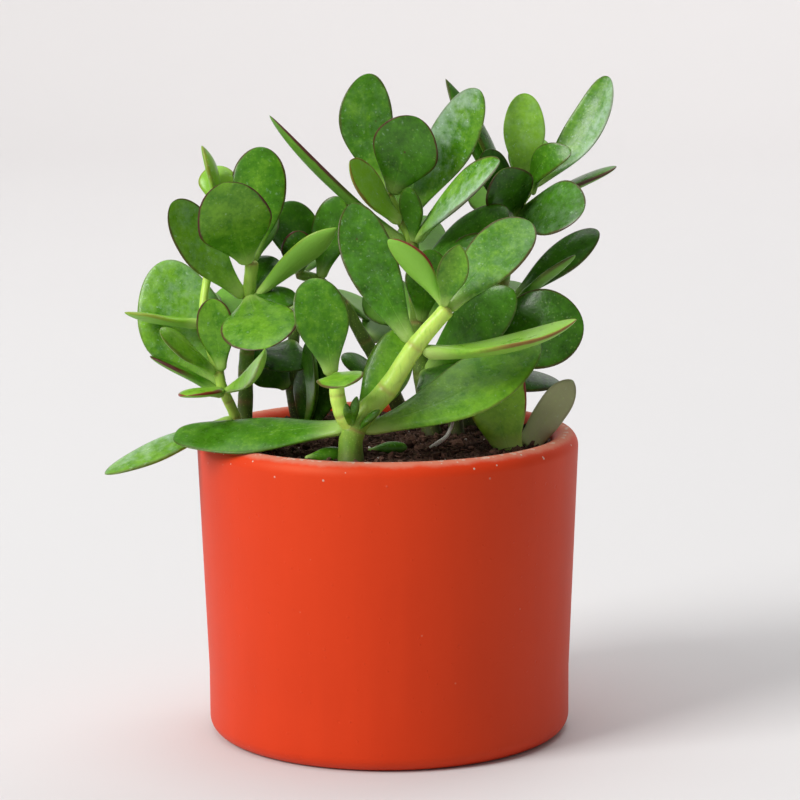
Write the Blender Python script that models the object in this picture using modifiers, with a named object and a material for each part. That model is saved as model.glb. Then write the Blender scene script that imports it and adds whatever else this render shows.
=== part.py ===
"""Potted jade plant in a round planter: pot, soil, nine stems, fleshy leaves and two leaf cuttings.

Frame: metres, +Z up, +X right, -Y to the front. The origin is the centre of the pot's underside.
"""

import math

import bmesh
import bpy
from mathutils import Matrix, Vector

MM = 0.001

# Pot, in millimetres
POT_RIM_DIAMETER = 120.0
POT_FOOT_DIAMETER = 114.4
POT_HEIGHT = 95.5
POT_WALL = 8.5
POT_FLOOR = 9.0
FOOT_BAND_HEIGHT = 20.0
FOOT_ROUNDING = 4.9
LIP_CREST_INSET = 4.0
LIP_OUTER_DROP = 4.7
LIP_INNER_DROP = 5.5

# Soil
SOIL_DROP = 3.0
SOIL_DOME = 0.8

# Plant
LEAF_THICKNESS = 3.2
STEM_THICKNESS = 1.0
GAP = 0.3
LEAF_GAP = 0.7

# The plant was laid out for a pot with this rim. It grows or shrinks with the pot.
LAYOUT_RIM_DIAMETER = 120.0
GROWTH = POT_RIM_DIAMETER / LAYOUT_RIM_DIAMETER

ROUND_STEPS = 48
LEAF_SEGMENTS = 10
LEAF_RINGS = 9
CURVE_STEPS = 3

COLOURS = {
    "pot": (0.62, 0.07, 0.025, 1.0),
    "soil": (0.045, 0.026, 0.017, 1.0),
    "stem_green": (0.30, 0.40, 0.08, 1.0),
    "stem_woody": (0.10, 0.12, 0.035, 1.0),
    "leaf": (0.065, 0.20, 0.030, 1.0),
    "leaf_young": (0.16, 0.34, 0.060, 1.0),
    "leaf_shaded": (0.030, 0.10, 0.018, 1.0),
    "leaf_old": (0.15, 0.16, 0.065, 1.0),
}
ROUGHNESS = {"pot": 0.5, "soil": 0.95, "stem_woody": 0.6}

# Stem routes from the soil upwards: x and y from the pot's axis, height above the lip's crest.
# A route's first height is left out (None) where the stem stands in the soil.
# name: (route, thickness at the foot, thickness at the top, slot)
STEMS = {
    "stem_front": (
        [(-11, -41, None), (-10, -40, 7.5), (0, -40.5, 19.5), (8.5, -41, 32.5), (18, -40, 43.5)],
        7.6, 4.6, "stem_green",
    ),
    "stem_left": (
        [(-45, 3, None), (-44.5, 3, 18.5), (-43.5, 1, 31.5), (-43, 0, 42.5), (-42, -2, 53.5)],
        4.8, 4.0, "stem_woody",
    ),
    "stem_far_left": (
        [(-46, -6, None), (-47.5, -7, 5.5), (-51, -9.5, 14.5), (-52.5, -9.5, 20), (-57, -5, 35),
         (-56, 1, 49), (-51.5, 6, 69.5)],
        3.4, 2.2, "stem_green",
    ),
    "stem_back_left": (
        [(-28, 17, None), (-30.5, 20, 10.5), (-30, 23, 24.5), (-28, 24, 37.5)],
        4.6, 3.2, "stem_woody",
    ),
    "stem_centre": (
        [(14, 4, None), (11, 7, 16.5), (10, 8, 33.5), (8.5, 6, 49.5), (8, 5, 59), (5, 5, 65.5),
         (0.7, 4, 73.5)],
        6.0, 3.4, "stem_woody",
    ),
    "stem_right": (
        [(26, 18, None), (32, 19, 19.5), (37, 18, 44.5), (41, 14, 66.5), (44.5, 10, 74.5)],
        5.2, 3.4, "stem_woody",
    ),
    "stem_far_right": (
        [(22, 4, None), (21, 4, 12.5), (23, 4, 23.5), (31, 6, 32.5), (39, 7, 40.5)],
        4.8, 3.4, "stem_woody",
    ),
    "stem_back": (
        [(6, 22, None), (0, 21, 12.5), (-7, 20, 25.5), (-14, 19, 37.5), (-21.5, 18, 45),
         (-28, 18, 47.5)],
        5.2, 3.2, "stem_woody",
    ),
}

# A side shoot that leaves a stem: name: (parent, node, direction, route above its start, ...)
SIDE_SHOOTS = {
    "stem_front_left": (
        "stem_front", 1, (-6, -2, 8), [(-15, -42, 17.5), (-15, -42, 23.5)], 4.4, 4.0, "stem_green",
    ),
}

# Leaves: name: (stem, node of its route, reach from base to tip, width, roll in degrees, slot, shape)
# With no roll, the upper face looks to the front and a little up. bow and sway bend the leaf
# out of and in its own plane as shares of its length, cup curls its edges up, wide is where it
# is widest, petiole is its relative width at the base and point sharpens its tip.
LEAVES = {
    "leaf_centre_1": ("stem_centre", 6, (-9, 4, 36), 17, 0, "leaf",
                      {"bow": -0.03, "cup": 0.1, "sway": -0.09}),
    "leaf_centre_2": ("stem_centre", 6, (6, -10, 24), 21, 0, "leaf", {"bow": 0.05, "cup": 0.1, "wide": 0.6}),
    "leaf_centre_3": ("stem_centre", 5, (21, -10, 40), 16, -10, "leaf", {"bow": -0.04, "cup": 0.2}),
    "leaf_centre_4": ("stem_centre", 5, (-15, -11, 21), 13, 30, "leaf",
                      {"bow": -0.04, "cup": 0.25, "point": 0.3}),
    "leaf_centre_5": ("stem_centre", 4, (-40, -5, 41), 15, 78, "leaf",
                      {"bow": -0.03, "cup": 0.15, "point": 0.3}),
    "leaf_centre_6": ("stem_centre", 4, (24, -25, 27), 14, -35, "leaf",
                      {"bow": 0.04, "cup": 0.15, "point": 0.1}),
    "leaf_centre_7": ("stem_centre", 2, (18, -14, 28), 16, -10, "leaf", {"bow": 0.05}),
    "leaf_centre_8": ("stem_centre", 1, (25, -15, 28), 17, 0, "leaf", {"bow": 0.05}),
    "leaf_right_1": ("stem_right", 3, (-19, 8, 41), 12, 40, "leaf_shaded",
                     {"bow": 0.02, "point": 0.9, "wide": 0.5}),
    "leaf_right_2": ("stem_right", 4, (1, -2, 28), 13, -5, "leaf_young",
                     {"bow": -0.03, "cup": 0.35, "petiole": 0.4}),
    "leaf_right_3": ("stem_right", 4, (10, -11, 16), 10, -15, "leaf",
                     {"bow": 0.1, "cup": 0.2, "sway": -0.15}),
    "leaf_right_4": ("stem_right", 4, (24, -1, 34), 13, -20, "leaf",
                     {"bow": -0.05, "cup": 0.3, "sway": 0.07}),
    "leaf_right_5": ("stem_right", 3, (28, -4, 16), 12, -62, "leaf", {"bow": 0.03, "thick": 1.1}),
    "leaf_right_6": ("stem_right", 3, (18, -25, 5), 19.5, 0, "leaf", {"bow": 0.08, "cup": 0.05}),
    "leaf_right_7": ("stem_right", 3, (-3, -15, 16), 17, 0, "leaf_shaded", {"bow": 0.1, "cup": 0.1}),
    "leaf_right_8": ("stem_right", 2, (-10, 29, -8), 18, 180, "leaf", {"bow": 0.08}),
    "leaf_front_1": ("stem_front", 4, (-15, 0, 19), 9.5, 140, "leaf_young",
                     {"bow": 0.05, "cup": 0.2, "point": 0.3, "sway": -0.04}),
    "leaf_front_2": ("stem_front", 4, (6, -5, 18), 9.5, 10, "leaf_young", {"cup": 0.5, "point": 0.4}),
    "leaf_front_3": ("stem_front", 4, (25, 8, 26), 18, -15, "leaf", {"bow": 0.05, "cup": 0.15}),
    "leaf_front_4": ("stem_front", 3, (-16, 17, 39), 16.5, 5, "leaf_shaded",
                     {"bow": -0.03, "cup": 0.12, "sway": -0.03}),
    "leaf_front_5": ("stem_front", 3, (45, 4, 10), 18, -58, "leaf_young",
                     {"bow": -0.07, "cup": 0.15, "point": 0.3, "thick": 1.25}),
    "leaf_front_6": ("stem_front", 1, (52, 14, 26), 21, -22, "leaf",
                     {"bow": -0.03, "cup": 0.1, "sway": 0.05}),
    "leaf_front_7": ("stem_front", 1, (14, 4, 29), 14, 0, "leaf", {"bow": 0.03, "sway": 0.05}),
    "leaf_front_8": ("stem_front", 1, (-51, 13, -6), 19, 40, "leaf_shaded",
                     {"bow": -0.03, "wide": 0.62, "petiole": 0.4, "point": -0.3}),
    "leaf_front_left_1": ("stem_front_left", 2, (-4, 4, 29), 17, 10, "leaf", {"bow": 0.08, "cup": 0.1}),
    "leaf_front_left_2": ("stem_front_left", 2, (2, -21, 1), 14.5, 0, "leaf", {"bow": 0.05, "cup": 0.1}),
    "leaf_far_right_1": ("stem_far_right", 2, (35, -8, 13), 26, 0, "leaf_shaded",
                         {"bow": 0.03, "cup": 0.05, "wide": 0.64, "sway": -0.03}),
    "leaf_far_right_2": ("stem_far_right", 4, (27, 8, 22), 12, -20, "leaf_shaded", {"bow": 0.02}),
    "leaf_far_right_3": ("stem_far_right", 4, (18, 1, 16), 8, -75, "leaf", {"bow": 0.03, "cup": 0.3}),
    "leaf_far_left_1": ("stem_far_left", 2, (-19, 12, 38), 27, -5, "leaf",
                        {"bow": -0.02, "wide": 0.5, "sway": -0.05}),
    "leaf_far_left_2": ("stem_far_left", 3, (-15, -9, 15), 11, 45, "leaf", {"sway": 0.04}),
    "leaf_far_left_3": ("stem_far_left", 3, (-4, 2, 22), 12, -10, "leaf", {"bow": 0, "cup": 0.2}),
    "leaf_far_left_4": ("stem_far_left", 2, (13, -39, 18), 9, -10, "leaf_young",
                        {"bow": -0.05, "cup": 0.15}),
    "leaf_far_left_5": ("stem_far_left", 2, (-9, -20, 3), 12, 50, "leaf", {"bow": 0.03}),
    "leaf_far_left_6": ("stem_far_left", 4, (-22, -2, 4), 11, 76, "leaf_young",
                        {"bow": -0.02, "point": 0.5}),
    "leaf_far_left_7": ("stem_far_left", 6, (-3, 1, 19), 9, 70, "leaf_young",
                        {"bow": 0.08, "point": 0.6, "wide": 0.4}),
    "leaf_far_left_8": ("stem_far_left", 1, (-38, -10, -15), 13, 45, "leaf", {"cup": 0.1, "point": 0.2}),
    "leaf_left_1": ("stem_left", 4, (-5, -15, 27), 23, -5, "leaf", {"bow": 0.06, "cup": 0.1, "wide": 0.58}),
    "leaf_left_2": ("stem_left", 3, (-19, -13, 31), 17, 20, "leaf", {"bow": -0.04, "cup": 0.15}),
    "leaf_left_3": ("stem_left", 4, (3, 12, 34), 18, 0, "leaf", {"bow": -0.02}),
    "leaf_left_4": ("stem_left", 3, (24, -9, 23), 9, -128, "leaf_young",
                    {"bow": 0.03, "point": 0.6, "cup": 0.1}),
    "leaf_left_5": ("stem_left", 3, (6, -30, -11), 24, 0, "leaf", {"bow": 0.04, "wide": 0.6}),
    "leaf_back_1": ("stem_back", 5, (-4, 3, 20), 16, 10, "leaf_shaded", {"bow": 0.03}),
    "leaf_back_2": ("stem_back", 5, (0, -10, 13), 11, 0, "leaf_shaded", {"bow": 0.1}),
    "leaf_back_3": ("stem_back", 4, (5, -4, 25), 13, -10, "leaf_shaded", {"bow": 0.03}),
    "leaf_back_4": ("stem_back", 3, (8, 30, -4), 20, 180, "leaf", {"bow": 0.06}),
    "leaf_back_left_1": ("stem_back_left", 3, (-6, 28, -4), 18, 180, "leaf", {"bow": 0.06}),
}

# Leaf cuttings stuck upright in the soil: name: (x, y, reach, width, roll, slot, shape)
CUTTINGS = {
    "cutting_1": (38, -20, (-2, 3, 24), 18, 0, "leaf", {"petiole": 0.5, "sway": -0.1}),
    "cutting_2": (43, -13, (15, 8, 17), 10, 10, "leaf_old", {"bow": -0.03, "point": 0.2, "petiole": 0.7}),
}

FACE_DIRECTION = Vector((0, -2, 1)).normalized()


def material(slot):
    """The Principled material of a slot, made the first time it is asked for."""
    found = bpy.data.materials.get(slot)
    if found:
        return found
    made = bpy.data.materials.new(slot)
    made.use_nodes = True
    shader = made.node_tree.nodes["Principled BSDF"]
    shader.inputs["Base Color"].default_value = COLOURS[slot]
    shader.inputs["Roughness"].default_value = ROUGHNESS.get(slot, 0.35)
    made.diffuse_color = COLOURS[slot]
    return made


def add_object(name, data, slot):
    obj = bpy.data.objects.new(name, data)
    data.materials.append(material(slot))
    bpy.data.collections["potted_jade_plant"].objects.link(obj)
    return obj


def quarter_arc(start, end, corner, steps):
    """Points of a quarter ellipse from start to end that bulges to corner, without its start."""
    points = []
    for i in range(1, steps + 1):
        turn = 0.5 * math.pi * i / steps
        across, along = 1 - math.cos(turn), math.sin(turn)
        points.append(
            tuple(
                s + along * (c - s) + across * (e - c)
                for s, c, e in zip(start, corner, end)
            )
        )
    return points


def turned(name, profile, slot):
    """A body turned about Z from a profile of (radius, height) in millimetres."""
    mesh = bpy.data.meshes.new(name)
    mesh.from_pydata(
        [(radius * MM, 0, height * MM) for radius, height in profile],
        [(i, i + 1) for i in range(len(profile) - 1)],
        [],
    )
    obj = add_object(name, mesh, slot)
    screw = obj.modifiers.new("turn", "SCREW")
    screw.steps = ROUND_STEPS
    screw.render_steps = ROUND_STEPS
    screw.use_merge_vertices = True
    screw.merge_threshold = 0.00001
    screw.use_smooth_shade = True
    return obj


def inner_radius():
    return 0.5 * POT_RIM_DIAMETER - POT_WALL


def inner_foot_radius():
    return 0.5 * POT_FOOT_DIAMETER - POT_WALL


def soil_height(x, y):
    """Height of the soil's low dome above the pot's underside."""
    share = min(1.0, math.hypot(x, y) / (inner_radius() - GAP))
    return POT_HEIGHT - SOIL_DROP + SOIL_DOME * (1 - share**2)


def make_pot():
    rim = 0.5 * POT_RIM_DIAMETER
    foot = 0.5 * POT_FOOT_DIAMETER
    inner = inner_radius()
    crest = (rim - LIP_CREST_INSET, POT_HEIGHT)
    inner_top = (inner, POT_HEIGHT - LIP_INNER_DROP)
    outer_top = (rim, POT_HEIGHT - LIP_OUTER_DROP)
    profile = [(0, POT_FLOOR), (inner_foot_radius(), POT_FLOOR), inner_top]
    profile += quarter_arc(inner_top, crest, (inner, POT_HEIGHT), 4)
    profile += quarter_arc(crest, outer_top, (rim, POT_HEIGHT), 4)
    profile += [(foot, FOOT_BAND_HEIGHT), (foot, FOOT_ROUNDING)]
    profile += quarter_arc((foot, FOOT_ROUNDING), (foot - FOOT_ROUNDING, 0), (foot, 0), 3)
    profile += [(0, 0)]
    turned("pot", profile, "pot")


def make_soil():
    edge = inner_radius() - GAP
    rings = [edge * share for share in (0.0, 0.35, 0.7, 1.0)]
    profile = [(radius, soil_height(radius, 0)) for radius in rings]
    # The wall leans, so the soil's side follows it from the lip's start down to the floor.
    profile += [(edge, POT_HEIGHT - LIP_INNER_DROP), (inner_foot_radius() - GAP, POT_FLOOR + GAP)]
    profile += [(0, POT_FLOOR + GAP)]
    turned("soil", profile, "soil")


def smooth_route(points):
    """A Catmull-Rom curve through the points, with CURVE_STEPS steps from each to the next."""
    route = [2 * points[0] - points[1], *points, 2 * points[-1] - points[-2]]
    found = []
    for i in range(1, len(route) - 2):
        a, b, c, d = route[i - 1 : i + 3]
        for step in range(CURVE_STEPS):
            t = step / CURVE_STEPS
            found.append(
                0.5
                * (2 * b + (c - a) * t + (2 * a - 5 * b + 4 * c - d) * t**2 + (3 * b - a - 3 * c + d) * t**3)
            )
    return [*found, points[-1]]


def above_lip(x, y, height):
    """A point of the plant in the pot's frame, in millimetres."""
    return Vector((x * GROWTH, y * GROWTH, POT_HEIGHT + height * GROWTH))


def stem_radii(points, foot, top):
    """Radii along the curve, from the thickness at its foot to that at its top."""
    lengths = [0.0]
    for near, far in zip(points, points[1:]):
        lengths.append(lengths[-1] + (far - near).length)
    thick = GROWTH * STEM_THICKNESS
    return [0.5 * thick * (foot + (top - foot) * at / lengths[-1]) for at in lengths]


def off_stem(stem, node, direction, half_thickness):
    """Where a piece that leaves a stem's node in this direction starts, clear of the stem."""
    points, radii = stem
    at = node * CURVE_STEPS
    before, after = points[max(at - 1, 0)], points[min(at + 1, len(points) - 1)]
    along = (after - before).normalized()
    lean = direction.normalized().dot(along)
    side = (direction.normalized() - lean * along).normalized()
    return points[at] + side * (radii[at] + LEAF_GAP * GROWTH + half_thickness * abs(lean))


def rooted_route(route, foot):
    """The stem's route, started just above the soil by as much as its tilted foot needs."""
    x, y, _ = route[0]
    start = Vector((x * GROWTH, y * GROWTH, soil_height(x * GROWTH, y * GROWTH) + GAP))
    rest = [above_lip(*point) for point in route[1:]]
    run = rest[0] - start
    tilt = math.hypot(run.x, run.y) / run.length
    start.z += 0.5 * foot * GROWTH * STEM_THICKNESS * tilt
    return [start, *rest]


def make_stem(name, points, radii, slot):
    curve = bpy.data.curves.new(name, "CURVE")
    curve.dimensions = "3D"
    curve.bevel_depth = MM
    curve.bevel_resolution = 2
    curve.use_fill_caps = True
    spline = curve.splines.new("POLY")
    spline.points.add(len(points) - 1)
    for point, place, radius in zip(spline.points, points, radii):
        point.co = (*(place * MM), 1)
        point.radius = radius
    add_object(name, curve, slot)


def leaf_width_share(s, petiole, wide, point):
    """Half width at s along the leaf as a share of its widest, from a narrow base to a round tip."""
    rise = (0.5 - 0.5 * math.cos(math.pi * min(1, s / wide))) ** 0.9
    fall = max(0, (s - wide) / (1 - wide))
    return (petiole + (1 - petiole) * rise) * max(0, 1 - fall**2) ** (0.5 + 0.5 * point)


def make_leaf(name, base, reach, width, roll, slot, shape):
    """A fleshy leaf: a sphere drawn out along Z, X across it and Y out of its upper face."""
    length = reach.length
    wide = shape.get("wide", 0.62)
    petiole = shape.get("petiole", 0.26) * min(1, 18 / width)
    bow = shape.get("bow", 0) * length
    sway = shape.get("sway", 0) * length
    cup = shape.get("cup", 0)
    thick = LEAF_THICKNESS * GROWTH * shape.get("thick", 1)
    ball = bmesh.new()
    bmesh.ops.create_uvsphere(ball, u_segments=LEAF_SEGMENTS, v_segments=LEAF_RINGS, radius=1)
    for vert in ball.verts:
        s = min(1, max(0, 0.5 - 0.5 * vert.co.z))
        ring = math.hypot(vert.co.x, vert.co.y)
        across, out = (vert.co.x / ring, vert.co.y / ring) if ring > 1e-6 else (0, 0)
        end = math.sqrt(1 - (1 - min(1, s / 0.06)) ** 2)
        half_width = 0.5 * width * GROWTH * end * leaf_width_share(s, petiole, wide, shape.get("point", 0))
        thin = max(0, 1 - (max(0, s - 0.55) / 0.45) ** 2) ** 0.6
        half_thick = 0.5 * thick * end * thin * (0.95 + 0.25 * math.exp(-((s / 0.2) ** 2)))
        half_thick = min(half_thick, half_width)
        arch = 4 * s * (1 - s)
        vert.co = MM * Vector((
            -sway * arch - half_width * across,
            bow * arch
            + half_thick * math.copysign(abs(out) ** 0.85, out)
            + cup * half_width * (across**2 - 0.33),
            length * s,
        ))
    for face in ball.faces:
        face.smooth = True
    mesh = bpy.data.meshes.new(name)
    ball.to_mesh(mesh)
    ball.free()
    obj = add_object(name, mesh, slot)
    along = reach.normalized()
    face = (FACE_DIRECTION - FACE_DIRECTION.dot(along) * along).normalized()
    face = Matrix.Rotation(math.radians(roll), 3, along) @ face
    turn = Matrix((face.cross(along), face, along)).transposed()
    obj.location = base * MM
    obj.rotation_euler = turn.to_euler()


def make_plant():
    stems = {}
    slots = {}
    for name, (route, foot, top, slot) in STEMS.items():
        points = smooth_route(rooted_route(route, foot))
        stems[name] = (points, stem_radii(points, foot, top))
        slots[name] = slot
    for name, (parent, node, direction, route, foot, top, slot) in SIDE_SHOOTS.items():
        start = off_stem(stems[parent], node, Vector(direction), 0.5 * foot * GROWTH * STEM_THICKNESS)
        points = smooth_route([start, *(above_lip(*point) for point in route)])
        stems[name] = (points, stem_radii(points, foot, top))
        slots[name] = slot
    for name, (points, radii) in stems.items():
        make_stem(name, points, radii, slots[name])
    for name, (stem, node, reach, width, roll, slot, shape) in LEAVES.items():
        reach = GROWTH * Vector(reach)
        base = off_stem(stems[stem], node, reach, 0.5 * LEAF_THICKNESS * GROWTH)
        make_leaf(name, base, reach, width, roll, slot, shape)
    for name, (x, y, reach, width, roll, slot, shape) in CUTTINGS.items():
        reach = GROWTH * Vector(reach)
        tilt = math.hypot(reach.x, reach.y) / reach.length
        lift = GAP + 0.5 * width * GROWTH * shape["petiole"] * tilt
        base = Vector((x * GROWTH, y * GROWTH, soil_height(x * GROWTH, y * GROWTH) + lift))
        make_leaf(name, base, reach, width, roll, slot, shape)


def main():
    for obj in list(bpy.data.objects):
        bpy.data.objects.remove(obj)
    collection = bpy.data.collections.new("potted_jade_plant")
    bpy.context.scene.collection.children.link(collection)
    make_pot()
    make_soil()
    make_plant()


main()
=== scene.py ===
"""Potted jade plant: fine leaves, stems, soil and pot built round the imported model.

Lengths in the tables are millimetres. Heights of the plant are measured from the pot's lip.
"""

import math

import bpy
import numpy as np
from mathutils import Matrix, Vector


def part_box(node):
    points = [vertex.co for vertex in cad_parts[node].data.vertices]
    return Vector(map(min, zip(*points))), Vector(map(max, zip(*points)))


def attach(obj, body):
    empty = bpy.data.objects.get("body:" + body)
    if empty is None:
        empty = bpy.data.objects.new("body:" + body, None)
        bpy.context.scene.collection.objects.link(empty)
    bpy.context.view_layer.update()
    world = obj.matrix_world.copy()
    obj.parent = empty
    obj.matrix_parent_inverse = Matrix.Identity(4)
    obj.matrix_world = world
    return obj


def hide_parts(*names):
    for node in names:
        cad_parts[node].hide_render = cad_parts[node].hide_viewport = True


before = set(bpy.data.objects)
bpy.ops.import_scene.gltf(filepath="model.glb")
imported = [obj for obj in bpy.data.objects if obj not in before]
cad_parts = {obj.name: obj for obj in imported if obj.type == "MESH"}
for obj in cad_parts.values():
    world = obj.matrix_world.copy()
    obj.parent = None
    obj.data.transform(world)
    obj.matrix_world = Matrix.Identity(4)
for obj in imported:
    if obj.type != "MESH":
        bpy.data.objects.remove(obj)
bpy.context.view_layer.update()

MM = 0.001

# Sizes of the pot and soil: the highest corners of their boxes in the frame, and their driving dimensions
pot_corner = np.array(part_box("pot")[1]) / MM
soil_corner = np.array(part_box("soil")[1]) / MM
RIM_RADIUS = pot_corner[0]
POT_HEIGHT = pot_corner[2]
SOIL_RADIUS = soil_corner[0] + 0.15
SOIL_TOP = soil_corner[2]
SOIL_DOME = 0.8
FOOT_RADIUS = RIM_RADIUS - 2.8
WALL = 8.5
POT_FLOOR = 9.0
FOOT_BAND_HEIGHT = 20.0
FOOT_ROUNDING = 4.9
LIP_CREST_INSET = 4.0
LIP_OUTER_DROP = 4.7
LIP_INNER_DROP = 5.5
LEAF_THICKNESS = 3.2
LEAF_GAP = 0.7

# Where a leaf's upper face turns at a roll of 0: to the front and a little up
FACE_DIRECTION = np.array([0.0, -2.0, 1.0]) / math.sqrt(5)


# ---------------------------------------------------------------- shader expressions


class Wire:
    """One shader output. Sums of wires and numbers add Math nodes."""

    def __init__(self, look, socket):
        self.look = look
        self.socket = socket

    def maths(self, operation, first, second=None):
        values = {0: first} if second is None else {0: first, 1: second}
        return self.look.add("ShaderNodeMath", {"operation": operation}, values)

    def __add__(self, other):
        return self.maths("ADD", self, other)

    def __radd__(self, other):
        return self.maths("ADD", other, self)

    def __sub__(self, other):
        return self.maths("SUBTRACT", self, other)

    def __rsub__(self, other):
        return self.maths("SUBTRACT", other, self)

    def __mul__(self, other):
        return self.maths("MULTIPLY", self, other)

    def __abs__(self):
        return self.maths("ABSOLUTE", self)

    def step(self, start, end):
        """0 before start, 1 after end and smooth between; start may be the larger."""
        settings = {"interpolation_type": "SMOOTHSTEP"}
        return self.look.add(
            "ShaderNodeMapRange", settings, {"Value": self, "From Min": start, "From Max": end}
        )


class Look:
    """A node material, with one method that adds any node and a few that name common ones."""

    def __init__(self, name, **constants):
        self.material = bpy.data.materials.new(name)
        self.material.use_nodes = True
        self.tree = self.material.node_tree
        self.shader = self.tree.nodes["Principled BSDF"]
        for socket, value in constants.items():
            self.shader.inputs[socket.replace("_", " ")].default_value = value

    def add(self, kind, settings, inputs, output=0):
        node = self.tree.nodes.new(kind)
        for name, value in settings.items():
            setattr(node, name, value)
        for key, value in inputs.items():
            if isinstance(value, Wire):
                self.tree.links.new(value.socket, node.inputs[key])
            else:
                node.inputs[key].default_value = value
        return Wire(self, node.outputs[output])

    def field(self, name):
        return self.add("ShaderNodeAttribute", {"attribute_name": name}, {}, "Fac")

    def place(self):
        return self.add("ShaderNodeTexCoord", {}, {}, "Object")

    def stretched(self, place, scale):
        return self.add("ShaderNodeVectorMath", {"operation": "MULTIPLY"}, {0: place, 1: scale})

    def noise(self, place, scale, detail=2.0, rough=0.5):
        inputs = {"Vector": place, "Scale": scale, "Detail": detail, "Roughness": rough}
        return self.add("ShaderNodeTexNoise", {}, inputs, 0)

    def dots(self, place, scale):
        """Distance from the nearest of many scattered points, in cells."""
        return self.add("ShaderNodeTexVoronoi", {}, {"Vector": place, "Scale": scale}, "Distance")

    def cells(self, place, scale):
        """A grey value that is the same all over each scattered cell."""
        colour = self.add("ShaderNodeTexVoronoi", {}, {"Vector": place, "Scale": scale}, "Color")
        return self.add("ShaderNodeSeparateColor", {}, {"Color": colour}, 0)

    def mix(self, share, first, second):
        first, second = (c if isinstance(c, Wire) else (*c, 1.0) for c in (first, second))
        inputs = {0: share, 6: first, 7: second}
        return self.add("ShaderNodeMix", {"data_type": "RGBA", "clamp_factor": True}, inputs, 2)

    def finish(self, colour, roughness, height, depth, strength, coat=None):
        """Joins the colour, roughness, coat and a bump of this height, in metres, to the shader."""
        inputs = {"Height": height, "Distance": depth, "Strength": strength}
        normal = self.add("ShaderNodeBump", {}, inputs, "Normal")
        wires = {"Base Color": colour, "Roughness": roughness, "Normal": normal, "Coat Weight": coat}
        for name, wire in wires.items():
            if wire:
                self.tree.links.new(wire.socket, self.shader.inputs[name])
        return self.material


DEEP_GREEN = (0.010, 0.045, 0.002)
LEAF_GREEN = (0.062, 0.215, 0.007)
LIME = (0.240, 0.500, 0.030)
PALE_LIME = (0.470, 0.680, 0.170)
UNDERSIDE = (0.225, 0.480, 0.060)
MARGIN_RED = (0.075, 0.014, 0.011)
MARGIN_BRIGHT = (0.250, 0.030, 0.015)
WAX_AND_PAINTED_SHEEN = (0.520, 0.690, 0.560)
OLD_LEAF = (0.400, 0.375, 0.220)


def leaf_look():
    """Fleshy leaf: mottled green with pale dots, a red-brown margin, a pale base and a waxy patch with a
    painted sheen and painted glints.
    """
    look = Look(
        "leaf_flesh", Specular_IOR_Level=0.25, Coat_Roughness=0.14,
        Subsurface_Weight=0.12, Subsurface_Scale=0.0015,
    )
    look.shader.inputs["Subsurface Radius"].default_value = (0.5, 1.0, 0.2)
    place = look.place()
    along, across, upper = (look.field(name) for name in ("along", "across", "upper"))
    edge, young, red, bloom = (look.field(name) for name in ("edge", "young", "red", "bloom"))
    old = look.field("old")
    broad = look.noise(place, 95, 3)
    patch = look.noise(place, 260, 4, 0.6)
    fine = look.noise(place, 900, 3, 0.6)
    spots = look.dots(place, 800)
    # Tone: the leaf's youth and its painted light and shade together, mottled. Dark tone on leaves at the
    # back is painted shade, and lighter tone on leaves that should look lit is painted light.
    tone = young + (broad - 0.5) * 0.5 + (patch - 0.5) * 0.70 + (fine - 0.5) * 0.40
    colour = look.mix(tone * 2, DEEP_GREEN, LEAF_GREEN)
    colour = look.mix(tone * 2 - 1, colour, LIME)
    colour = look.mix(old, colour, OLD_LEAF)
    below = (0 - upper).step(0.05, 0.5)
    # Underside colour, with its share cut on dark-toned leaves so that undersides at the back stay dark:
    # painted shade.
    colour = look.mix(below * (0.10 + young * 0.82), colour, UNDERSIDE)
    midrib = abs(across).step(0.07, 0.0) * along.step(0.9, 0.2) * 0.10
    colour = look.mix(midrib, colour, LIME)
    dot = spots.step(0.34, 0.10) * look.cells(place, 800).step(0.25, 0.9) * 0.16
    colour = look.mix(dot * (1 - below), colour, PALE_LIME)
    base = along.step(0.26, 0.02) * (0.40 + young * 0.5) * (1 - old)
    colour = look.mix(base, colour, PALE_LIME)
    # A pale waxy patch with a painted sheen in it: pale colour where a glossy reflection of the bright room
    # would fall, on the side that the value's sign picks.
    painted_sheen_and_wax_mask = (look.noise(place, 330, 4, 0.65) + across * bloom * 0.25).step(0.34, 0.86)
    painted_sheen_and_wax_mask = painted_sheen_and_wax_mask * abs(bloom) * (1 - below)
    painted_sheen_and_wax_mask = painted_sheen_and_wax_mask * along.step(0.1, 0.5)
    # Painted glints: small pale flecks that stand for crisp highlights on the wax.
    painted_glint = look.noise(place, 700, 4, 0.7).step(0.60, 0.72) * (0.22 + abs(bloom) * 0.4) * (1 - below)
    colour = look.mix(painted_sheen_and_wax_mask * 0.62 + painted_glint * along.step(0.1, 0.4), colour, WAX_AND_PAINTED_SHEEN)
    ragged = edge + (look.noise(place, 230, 3) - 0.5) * 1.1
    rim = ragged.step(0.95, 0.30) * along.step(0.25, 0.60) * red * upper.step(-0.55, -0.25)
    colour = look.mix(rim, colour, look.mix(young.step(0.70, 1.0) * 0.8, MARGIN_RED, MARGIN_BRIGHT))
    black = look.dots(place, 340).step(0.16, 0.09) * look.cells(place, 340).step(0.93, 0.96) * red
    colour = look.mix(black * 0.8, colour, MARGIN_RED)
    rough = 0.30 + (broad - 0.5) * 0.16 + (patch - 0.5) * 0.12 + painted_sheen_and_wax_mask * 0.10 + rim * 0.1
    rough = rough + old * 0.3 + below * 0.22
    height = fine * 0.30 + patch * 0.40 + broad * 1.2 + dot * 0.6 - midrib * 2
    return look.finish(colour, rough, height, 0.0004, 0.6, 0.13 - below * 0.13)


STEM_PALE = (0.560, 0.800, 0.130)
STEM_GREEN = (0.140, 0.300, 0.020)
STEM_WOOD = (0.075, 0.080, 0.028)
SCAR = (0.340, 0.170, 0.075)
SCAR_DARK = (0.060, 0.032, 0.016)


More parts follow.
